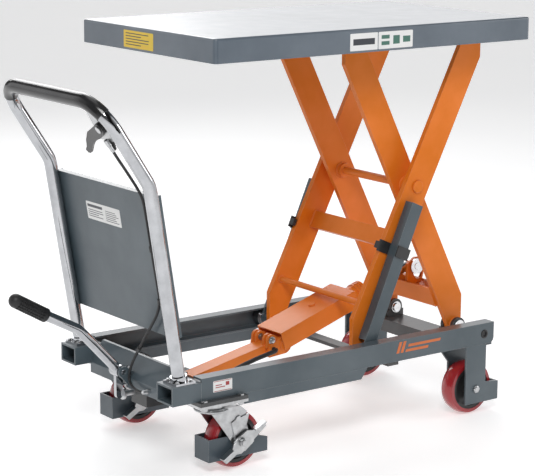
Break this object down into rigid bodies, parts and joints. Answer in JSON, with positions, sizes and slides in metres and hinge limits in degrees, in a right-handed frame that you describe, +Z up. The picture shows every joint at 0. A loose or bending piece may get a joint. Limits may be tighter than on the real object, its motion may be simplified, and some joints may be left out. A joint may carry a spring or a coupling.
{
  "type": "mobile scissor lift table",
  "caption": "Hand-pushed scissor lift table with a raised flat platform, foot pump, push handle, fixed front wheels and braked swivel casters.",
  "frame": {"origin": "centre of the bounding box, on the floor under the wheels", "axes": "+X towards the fixed front wheels, away from the push handle; +Y across to the left side seen from the handle; +Z up"},
  "size_m": [1.1725, 0.5, 0.91],
  "materials": {
    "frame_paint": "satin slate powder coat",
    "dark_paint": "satin black paint",
    "zinc_plate": "bright zinc plate",
    "handle_chrome": "polished",
    "pin_steel": "ground steel",
    "black_rubber": "matte",
    "black_plastic": "moulded",
    "arm_orange": "gloss orange powder coat",
    "deck_paint": "satin slate powder coat",
    "prop_paint": "satin slate powder coat",
    "guard_paint": "satin slate powder coat",
    "roller_steel": "turned steel",
    "red_tread": "gloss polyurethane"
  },
  "bodies": {
    "base": {"side_rail_left": "frame_paint", "side_rail_right": "frame_paint", "rail_stiffeners": "frame_paint", "base_crossmembers": "dark_paint", "rear_crossmember": "frame_paint", "outriggers": "frame_paint", "front_forks": "frame_paint", "caster_flanges": "dark_paint", "caster_top_plates": "zinc_plate", "frame_bolts": "zinc_plate", "handle_tube": "handle_chrome", "handle_grip": "black_rubber", "handle_sockets": "handle_chrome", "back_panel": "frame_paint", "lever_bracket": "zinc_plate", "release_cable": "black_rubber", "pump_strut": "arm_orange", "pump_body": "dark_paint", "pump_hose": "black_rubber", "base_lugs": "dark_paint", "base_pivot_pins": "pin_steel"},
    "inner_arms": {"inner_arm_left": "arm_orange", "inner_arm_right": "arm_orange", "inner_cross_tube": "arm_orange", "centre_axle": "arm_orange"},
    "outer_arms": {"outer_arm_left": "arm_orange", "outer_arm_right": "arm_orange", "outer_cross_tubes": "arm_orange", "prop_clips": "black_plastic"},
    "platform": {"platform_deck": "deck_paint", "deck_channels": "deck_paint", "deck_lugs": "deck_paint", "deck_pins": "pin_steel"},
    "upper_roller_left": {"upper_roller_left": "roller_steel"},
    "upper_roller_right": {"upper_roller_right": "roller_steel"},
    "lower_roller_left": {"lower_roller_left": "roller_steel"},
    "lower_roller_right": {"lower_roller_right": "roller_steel"},
    "cylinder": {"cylinder_tube": "arm_orange", "cylinder_cover": "arm_orange"},
    "rod": {"piston_rod": "pin_steel"},
    "safety_prop_left": {"safety_prop_left": "prop_paint"},
    "safety_prop_right": {"safety_prop_right": "prop_paint"},
    "pedal": {"pedal_tube": "handle_chrome", "pedal_grip": "black_rubber"},
    "plunger": {"pump_plunger": "zinc_plate"},
    "release_lever": {"release_lever": "black_plastic"},
    "caster_left": {"caster_fork_left": "zinc_plate", "caster_guard_left": "guard_paint"},
    "caster_right": {"caster_fork_right": "zinc_plate", "caster_guard_right": "guard_paint"},
    "brake_left": {"brake_pedal_left": "zinc_plate"},
    "brake_right": {"brake_pedal_right": "zinc_plate"},
    "rear_wheel_left": {"rear_tyre_left": "red_tread", "rear_hub_left": "black_plastic"},
    "rear_wheel_right": {"rear_tyre_right": "red_tread", "rear_hub_right": "black_plastic"},
    "front_wheel_left": {"front_tyre_left": "red_tread", "front_hub_left": "black_plastic"},
    "front_wheel_right": {"front_tyre_right": "red_tread", "front_hub_right": "black_plastic"}
  },
  "joints": [
    {"name": "lift", "type": "hinge", "parent": "base", "child": "inner_arms", "pos_m": [0.50375, 0, 0.189], "axis": [0, -1, 0], "range_deg": [0, 52.5]},
    {"name": "arm_cross", "type": "hinge", "parent": "inner_arms", "child": "outer_arms", "pos_m": [0.34375, 0, 0.5385], "axis": [0, -1, 0], "range_deg": [-105.1, 0.1]},
    {"name": "platform_level", "type": "hinge", "parent": "outer_arms", "child": "platform", "pos_m": [0.50375, 0, 0.888], "axis": [0, -1, 0], "range_deg": [-0.1, 52.6]},
    {"name": "upper_roller_spin_left", "type": "hinge", "parent": "inner_arms", "child": "upper_roller_left", "pos_m": [0.18375, 0.132, 0.888], "axis": [0, 1, 0], "continuous": true},
    {"name": "lower_roller_spin_left", "type": "hinge", "parent": "outer_arms", "child": "lower_roller_left", "pos_m": [0.18375, 0.203, 0.189], "axis": [0, 1, 0], "continuous": true},
    {"name": "upper_roller_spin_right", "type": "hinge", "parent": "inner_arms", "child": "upper_roller_right", "pos_m": [0.18375, -0.132, 0.888], "axis": [0, 1, 0], "continuous": true},
    {"name": "lower_roller_spin_right", "type": "hinge", "parent": "outer_arms", "child": "lower_roller_right", "pos_m": [0.18375, -0.203, 0.189], "axis": [0, 1, 0], "continuous": true},
    {"name": "cylinder_tilt", "type": "hinge", "parent": "base", "child": "cylinder", "pos_m": [0.07075, 0, 0.19], "axis": [0, -1, 0], "range_deg": [-9.74, 0.1]},
    {"name": "rod_stroke", "type": "slide", "parent": "cylinder", "child": "rod", "axis": [0.9509, 0, 0.3096], "range_m": [-0.10372, 0.0005]},
    {"name": "prop_swing_left", "type": "hinge", "parent": "outer_arms", "child": "safety_prop_left", "pos_m": [0.18375, 0.175, 0.189], "axis": [0, -1, 0], "range_deg": [0, 12]},
    {"name": "prop_swing_right", "type": "hinge", "parent": "outer_arms", "child": "safety_prop_right", "pos_m": [0.18375, -0.175, 0.189], "axis": [0, -1, 0], "range_deg": [0, 12]},
    {"name": "pedal_press", "type": "hinge", "parent": "base", "child": "pedal", "pos_m": [-0.32725, 0.025, 0.184], "axis": [0, -1, 0], "range_deg": [0, 35], "stiffness_Nm_per_rad": 12, "springref_deg": -34.38},
    {"name": "plunger_push", "type": "slide", "parent": "base", "child": "plunger", "axis": [1, 0, 0], "range_m": [-0.0002, 0.0335]},
    {"name": "lever_squeeze", "type": "hinge", "parent": "base", "child": "release_lever", "pos_m": [-0.47069, -0.146, 0.73727], "axis": [0.8348, 0, 0.5505], "range_deg": [0, 22], "stiffness_Nm_per_rad": 0.6, "springref_deg": -28.65},
    {"name": "caster_swivel_left", "type": "hinge", "parent": "base", "child": "caster_left", "pos_m": [-0.23325, 0.187, 0.146], "axis": [0, 0, 1], "continuous": true},
    {"name": "brake_rock_left", "type": "hinge", "parent": "caster_left", "child": "brake_left", "pos_m": [-0.18125, 0.149, 0.0625], "axis": [0, 1, 0], "range_deg": [0, 45]},
    {"name": "rear_wheel_spin_left", "type": "hinge", "parent": "caster_left", "child": "rear_wheel_left", "pos_m": [-0.18125, 0.187, 0.0625], "axis": [0, 1, 0], "continuous": true},
    {"name": "front_wheel_spin_left", "type": "hinge", "parent": "base", "child": "front_wheel_left", "pos_m": [0.48075, 0.187, 0.0625], "axis": [0, 1, 0], "continuous": true},
    {"name": "caster_swivel_right", "type": "hinge", "parent": "base", "child": "caster_right", "pos_m": [-0.23325, -0.187, 0.146], "axis": [0, 0, 1], "continuous": true},
    {"name": "brake_rock_right", "type": "hinge", "parent": "caster_right", "child": "brake_right", "pos_m": [-0.18125, -0.225, 0.0625], "axis": [0, 1, 0], "range_deg": [0, 45]},
    {"name": "rear_wheel_spin_right", "type": "hinge", "parent": "caster_right", "child": "rear_wheel_right", "pos_m": [-0.18125, -0.187, 0.0625], "axis": [0, 1, 0], "continuous": true},
    {"name": "front_wheel_spin_right", "type": "hinge", "parent": "base", "child": "front_wheel_right", "pos_m": [0.48075, -0.187, 0.0625], "axis": [0, 1, 0], "continuous": true}
  ],
  "couplings": [
    {"joint": "arm_cross", "follows": "lift", "ratio": -2},
    {"joint": "platform_level", "follows": "lift", "ratio": 1},
    {"joint": "cylinder_tilt", "follows": "lift", "ratio": -0.18361},
    {"joint": "rod_stroke", "follows": "lift", "m_per_rad": -0.11265},
    {"joint": "plunger_push", "follows": "pedal_press", "m_per_rad": 0.054}
  ]
}
